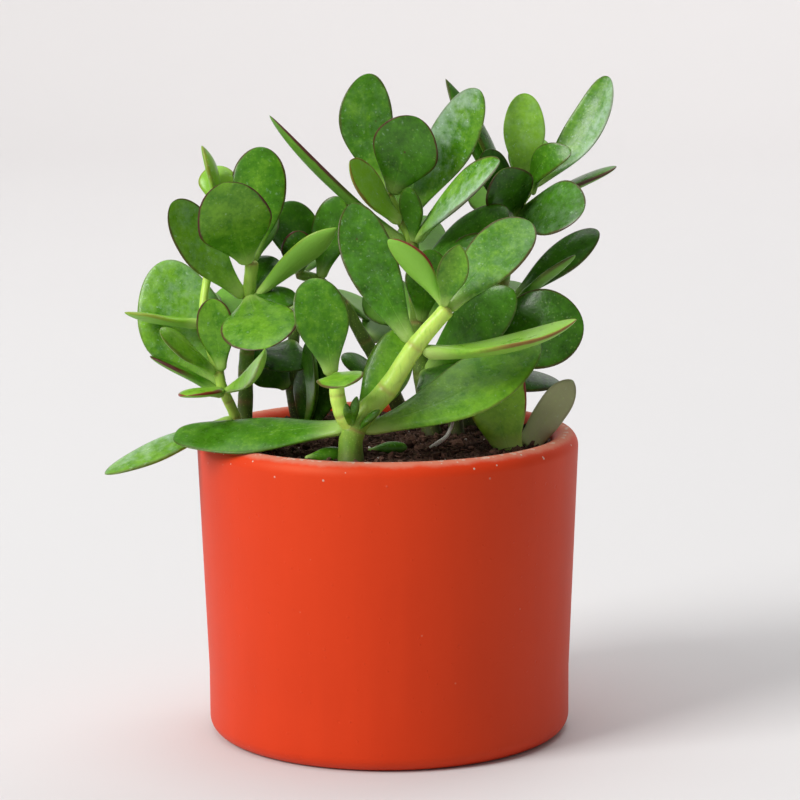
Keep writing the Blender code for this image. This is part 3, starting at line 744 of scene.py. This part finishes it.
def add_leaf(name, base, reach, width, roll, traits, look, seed, packed):
    """The leaf's surface as a piece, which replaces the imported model's leaf if there is one."""
    points, faces, fields = leaf_surface(base, reach, width, roll, traits, seed)
    colours = {key: traits.get(key, 0.0) for key in ("young", "red", "bloom", "old")}
    piece = name + "_fine" if packed else name
    stands_for = (name,) if packed else ()
    add_piece(piece, points, faces, look, leaf_slot(traits), stands_for, **fields, **colours)


# ---------------------------------------------------------------- pot and soil


def quarter(start, end, corner, steps):
    """A quarter ellipse from start to end that bulges to corner, without its start."""
    turn = np.linspace(0, np.pi / 2, steps + 1)[1:, None]
    start, end, corner = np.array(start), np.array(end), np.array(corner)
    return start + np.sin(turn) * (corner - start) + (1 - np.cos(turn)) * (end - corner)


def straight(start, end, steps):
    """Points evenly along a line, without its start."""
    return start + np.linspace(0, 1, steps + 1)[1:, None] * (np.array(end) - start)


def turned_surface(profile, columns, uneven):
    """A profile of (radius, height) swept round the axis, its radius a little uneven."""
    turn = np.linspace(0, 2 * np.pi, columns, endpoint=False)
    waves = np.sin(3 * turn + 0.7) + 0.6 * np.sin(5 * turn + 2.1) + 0.4 * np.sin(11 * turn)
    radius = profile[:, :1] + uneven * waves * np.clip(profile[:, :1] / RIM_RADIUS, 0, 1)
    return np.stack([radius * np.cos(turn), radius * np.sin(turn), np.repeat(profile[:, 1:], columns, 1)], -1)


def make_pot(look):
    """The planter: floor, inner wall, lip of two quarter ellipses, leaning wall and rounded foot."""
    inner = RIM_RADIUS - WALL
    foot = FOOT_RADIUS
    inner_floor = (foot - WALL, POT_FLOOR)
    lip_inside = (inner, POT_HEIGHT - LIP_INNER_DROP)
    crest = (RIM_RADIUS - LIP_CREST_INSET, POT_HEIGHT)
    lip_outside = (RIM_RADIUS, POT_HEIGHT - LIP_OUTER_DROP)
    band = (foot, FOOT_BAND_HEIGHT)
    rounding = (foot, FOOT_ROUNDING)
    columns = 160
    parts = [
        np.array([(0.5, POT_FLOOR), inner_floor]),
        straight(inner_floor, lip_inside, 10),
        quarter(lip_inside, crest, (inner, POT_HEIGHT), 12),
        quarter(crest, lip_outside, (RIM_RADIUS, POT_HEIGHT), 12),
        straight(lip_outside, band, 30),
        straight(band, rounding, 6),
        quarter(rounding, (foot - FOOT_ROUNDING, 0.0), (foot, 0.0), 10),
        np.array([(foot * 0.5, 0.0), (0.5, 0.0)]),
    ]
    profile = np.concatenate(parts)
    grid = turned_surface(profile, columns, 0.05)
    points = with_poles(grid)
    faces = outward(points, *tube_faces(len(profile), columns))
    radius = np.hypot(points[:, 0], points[:, 1])
    down = POT_HEIGHT - points[:, 2]
    crest_gap = np.hypot(radius - crest[0] - 0.6, down * 1.6)
    wear = np.clip(1.45 - crest_gap / 3.4, 0, 1.35)
    outside = radius > inner + 2.5
    add_piece(
        "pot_wall", points, faces, look, "pot", ("pot",),
        wear=wear, wall=np.where(outside, down, 40.0), inside=~outside & (down > 2.5),
    )


def make_soil(look):
    """The soil's top is its height formula on rings, roughened; its side leans in to the pot's floor."""
    columns = 260
    bottom = np.full((1, columns), POT_FLOOR + 0.3)
    rings = np.concatenate([np.linspace(0.3, 1.0, 90) ** 0.8, [1.0]]) * SOIL_RADIUS
    turn = np.linspace(0, 2 * np.pi, columns, endpoint=False)
    x, y = rings[:, None] * np.cos(turn), rings[:, None] * np.sin(turn)
    rng = np.random.default_rng(7)
    z = soil_height(x, y) + rng.normal(0, 0.13, x.shape)
    z[-1] = POT_HEIGHT - 6.0
    top = np.stack([x, y, z], -1)
    low = np.stack([x[-1:] * 0.95, y[-1:] * 0.95, bottom], -1)
    base = np.stack([x[-1:] * 0.3, y[-1:] * 0.3, bottom], -1)
    grid = np.concatenate([top, low, base])
    points = with_poles(grid)
    faces = outward(points, *tube_faces(len(grid), columns))
    add_piece("soil_bed", points, faces, look, "soil", ("soil",), tone=0.45)


ICOSAHEDRON = np.array([
    (0, 1, 1.618), (0, -1, 1.618), (0, 1, -1.618), (0, -1, -1.618),
    (1, 1.618, 0), (-1, 1.618, 0), (1, -1.618, 0), (-1, -1.618, 0),
    (1.618, 0, 1), (-1.618, 0, 1), (1.618, 0, -1), (-1.618, 0, -1),
]) / 1.902
ICO_FACES = np.array([
    (0, 1, 8), (0, 9, 1), (0, 8, 4), (0, 4, 5), (0, 5, 9), (1, 9, 7), (1, 7, 6), (1, 6, 8),
    (8, 6, 10), (8, 10, 4), (4, 10, 2), (4, 2, 5), (5, 2, 11), (5, 11, 9), (9, 11, 7),
    (3, 6, 7), (3, 10, 6), (3, 2, 10), (3, 11, 2), (3, 7, 11),
])


def scatter(rng, count, limit):
    """Even random places on the soil within a radius."""
    radius, turn = limit * np.sqrt(rng.random(count)), rng.random(count) * 2 * np.pi
    return radius * np.cos(turn), radius * np.sin(turn)


def make_crumbs(name, look, seed, count, smallest, largest, flat, lift, heap=None):
    """Lumps: a rough twenty-sided ball, squashed and turned at random, at each scattered place.

    A heap gathers them round a point instead, as a bell of its spread and three times as high.
    """
    rng = np.random.default_rng(seed)
    size = smallest + (largest - smallest) * rng.random(count) ** 3
    x, y = scatter(rng, count, SOIL_RADIUS - 0.8 - size.max() * 0.5)
    z = soil_height(x, y) + size * lift
    if heap:
        middle, spread = heap
        x, y = (c + rng.normal(0, spread, count) for c in middle)
        far = np.hypot(x - middle[0], y - middle[1]) / spread
        z = soil_height(x, y) + 3 * spread * np.exp(-(far**2)) * rng.random(count)
    axes = size[:, None] * (1 - flat * rng.random((count, 3)))
    local = ICOSAHEDRON * (1 + rng.normal(0, 0.14, (count, 12, 1)))
    turns = np.linalg.qr(rng.normal(size=(count, 3, 3)))[0]
    turns = turns * np.linalg.det(turns)[:, None, None]
    points = np.einsum("nij,nkj->nki", turns, local * axes[:, None]) + np.stack([x, y, z], -1)[:, None]
    faces = ICO_FACES + 12 * np.arange(count)[:, None, None]
    tone = np.repeat(rng.random(count) ** 1.6, 12)
    add_piece(name, points.reshape(-1, 3), [faces.reshape(-1, 3)], look, "soil", smooth=False, tone=tone)


def make_fibres(name, look, seed, count, shortest, longest, thin, thick):
    """Strands: thin three-sided tubes that bend as a parabola, each lying on the soil its own way."""
    rng = np.random.default_rng(seed)
    length = shortest + (longest - shortest) * rng.random((count, 1))
    x, y = scatter(rng, count, SOIL_RADIUS - 1.5 - longest * 0.5)
    turn = rng.random((count, 1)) * 2 * np.pi
    t = np.linspace(-0.5, 0.5, 7)[None]
    bend = rng.normal(0, 0.9, (count, 1)) * length * (t**2 - 0.08)
    px = x[:, None] + length * t * np.cos(turn) - bend * np.sin(turn)
    py = y[:, None] + length * t * np.sin(turn) + bend * np.cos(turn)
    tilt = rng.normal(0, 0.16, (count, 1)) * length * t
    pz = soil_height(px, py) + 0.35 + 0.5 * rng.random((count, 1)) + np.abs(tilt)
    radius = (thin + (thick - thin) * rng.random((count, 1))) * (1.02 - (2 * t) ** 4)
    angle = np.array([0, 2.094, 4.189])
    side = np.stack([-np.sin(turn), np.cos(turn)], -1)
    ring_x = px[..., None] + radius[..., None] * np.cos(angle) * side[..., 0:1]
    ring_y = py[..., None] + radius[..., None] * np.cos(angle) * side[..., 1:2]
    ring_z = pz[..., None] + radius[..., None] * np.sin(angle)
    grid = np.stack([ring_x, ring_y, ring_z], -1)
    flat = grid.reshape(count, -1, 3)
    points = np.concatenate([grid[:, 0].mean(1, keepdims=True), flat, grid[:, -1].mean(1, keepdims=True)], 1)
    quads, triangles = outward(points[0], *tube_faces(7, 3))
    step = points.shape[1] * np.arange(count)[:, None, None]
    faces = [(quads + step).reshape(-1, 4), (triangles + step).reshape(-1, 3)]
    tone = np.repeat(rng.random(count), points.shape[1])
    add_piece(name, points.reshape(-1, 3), faces, look, "soil", tone=tone)


# name, x, y, reach and width of each scrap, and the root's route
SCRAPS = (
    ("leaf_scrap_1", -25, -40, (12, 4, 0.6), 5),
    ("leaf_scrap_2", -6, -29, (12, 3, 0.4), 4),
)
ROOT = (
    (12, -24, 93.2), (15, -25, 95.4), (18, -23, 97.2),
    (19.5, -21, 99.6), (20, -23, 102.0), (19, -25, 103.2),
)


def make_litter(flesh, pale):
    """Two leaf scraps and a pale bare root on the soil, each on the leaf's or the tube's formula."""
    for seed, (name, x, y, reach, width) in enumerate(SCRAPS, 120):
        base = np.array([x, y, float(soil_height(x, y)) + 1.2])
        traits = dict(bow=0.05, young=0.45, red=0.2)
        add_leaf(name, base, np.array(reach, float), width, 0, traits, flesh, seed, False)
    centre = smooth_route([np.array(point, float) for point in ROOT], 10)
    share = np.linspace(0, 1, len(centre))
    points, faces = tube(centre, 0.75 - 0.35 * share, 12, 0.08)
    add_piece("bare_root", points, faces, pale, "soil")


# ---------------------------------------------------------------- stage, light and camera


PAPER_NEAR = (0.680, 0.676, 0.682)
PAPER_FAR = (0.775, 0.752, 0.752)


def make_stage():
    """A pale sweep: flat floor, a quarter round and a far wall, as a profile drawn along X."""
    turn = np.linspace(0, np.pi / 2, 24)
    depth = np.concatenate([[-3.0], 2.2 + 1.2 * np.sin(turn), [3.4]])
    height = np.concatenate([[0.0], 1.2 - 1.2 * np.cos(turn), [4.5]])
    across = np.linspace(-5, 5, 12)
    grid = np.stack(np.broadcast_arrays(across[None], depth[:, None], height[:, None]), -1)
    rows, columns = grid.shape[:2]
    corner = (np.arange(rows - 1)[:, None] * columns + np.arange(columns - 1)).reshape(-1, 1)
    quads = corner + np.array([0, 1, columns + 1, columns])
    mesh = bpy.data.meshes.new("sweep")
    mesh.from_pydata(grid.reshape(-1, 3).tolist(), [], quads.tolist())
    mesh.polygons.foreach_set("use_smooth", np.full(len(mesh.polygons), True))
    sweep = bpy.data.objects.new("sweep", mesh)
    bpy.context.scene.collection.objects.link(sweep)
    look = Look("sweep_paper", Specular_IOR_Level=0.2)
    place = look.place()
    tone = look.noise(place, 3, 2)
    back = look.add("ShaderNodeSeparateXYZ", {}, {"Vector": place}, "Y")
    # The paper is painted lighter towards the far wall: painted light that makes up for the light falling off
    # there.
    colour = look.mix(back * 0.33 + (tone - 0.5) * 0.1, PAPER_NEAR, PAPER_FAR)
    mesh.materials.append(look.finish(colour, 0.8 + (tone - 0.5) * 0.1, tone, 0.0005, 0.1))


def add_light(name, place, aim, width, height, power, colour):
    """A rectangular softbox at a place, turned to face its aim."""
    lamp = bpy.data.lights.new(name, "AREA")
    lamp.shape = "RECTANGLE"
    lamp.size, lamp.size_y = width, height
    lamp.energy = power
    lamp.color = colour
    holder = bpy.data.objects.new(name, lamp)
    holder.location = place
    holder.rotation_euler = (Vector(aim) - Vector(place)).to_track_quat("-Z", "Y").to_euler()
    bpy.context.scene.collection.objects.link(holder)


def make_light():
    """A large key from the left, a soft one above, a wash on the far floor and a dim white room."""
    middle = (0, 0, POT_HEIGHT * MM)
    add_light("key_left", (-3.0, -2.0, 2.75), middle, 1.9, 1.9, 172, (1.0, 0.99, 0.97))
    add_light("soft_top", (-0.3, 0.1, 3.0), middle, 2.2, 2.2, 33, (1.0, 1.0, 1.0))
    add_light("floor_wash", (1.1, 2.4, 2.6), (0.8, 1.9, 0), 2.6, 2.0, 33, (1.0, 1.0, 1.0))
    world = bpy.data.worlds.new("studio")
    world.use_nodes = True
    world.node_tree.nodes["Background"].inputs["Color"].default_value = (1.0, 0.99, 0.99, 1)
    world.node_tree.nodes["Background"].inputs["Strength"].default_value = 0.26
    bpy.context.scene.world = world
    bpy.context.scene.view_settings.view_transform = "Standard"


def make_camera():
    """A long lens a metre off, looking down by about 9 degrees and rolled a little."""
    eye = Vector((0.0, -0.945, 0.261))
    aim = Vector((0.004, 0.0, 0.105))
    lens = bpy.data.cameras.new("camera")
    lens.lens = 137.0
    lens.sensor_width = 36.0
    lens.clip_start = 0.05
    camera = bpy.data.objects.new("camera", lens)
    turn = (aim - eye).to_track_quat("-Z", "Y").to_matrix()
    turn = turn @ Matrix.Rotation(math.radians(-0.33), 3, "Z")
    camera.location = eye
    camera.rotation_euler = turn.to_euler()
    bpy.context.scene.collection.objects.link(camera)
    bpy.context.scene.camera = camera


def main():
    make_pot(pot_look())
    dark_soil = soil_look("soil_dark", SOIL_DARK, SOIL_PALE, 900)
    bark = soil_look("bark", BARK_DARK, BARK_PALE, 700)
    perlite = perlite_look()
    make_soil(dark_soil)
    make_crumbs("soil_crumbs", dark_soil, 11, 2600, 0.35, 1.7, 0.5, 0.25)
    make_crumbs("bark_chips", bark, 12, 260, 0.8, 2.6, 0.75, 0.35)
    make_crumbs("perlite_grains", perlite, 13, 110, 0.30, 0.85, 0.4, 0.7)
    make_fibres("bark_fibres", bark, 14, 420, 3.0, 9.0, 0.10, 0.28)
    heap = (np.array([7.2, -21.0]), 1.6)
    make_crumbs("bark_heap", bark, 15, 60, 1.0, 2.8, 0.6, 0.5, heap)
    skin = stem_look()
    for name in STEMS:
        make_stem(name, skin)
    flesh = leaf_look()
    make_litter(flesh, perlite)
    for seed, (name, row) in enumerate(LEAVES.items()):
        make_leaf(name, row, flesh, seed, True)
    for seed, (name, row) in enumerate(MORE_LEAVES.items(), 60):
        make_leaf(name, row, flesh, seed, False)
    for seed, (name, row) in enumerate(CUTTINGS.items(), 100):
        make_cutting(name, row, flesh, seed)
    make_stage()
    make_light()
    make_camera()


main()
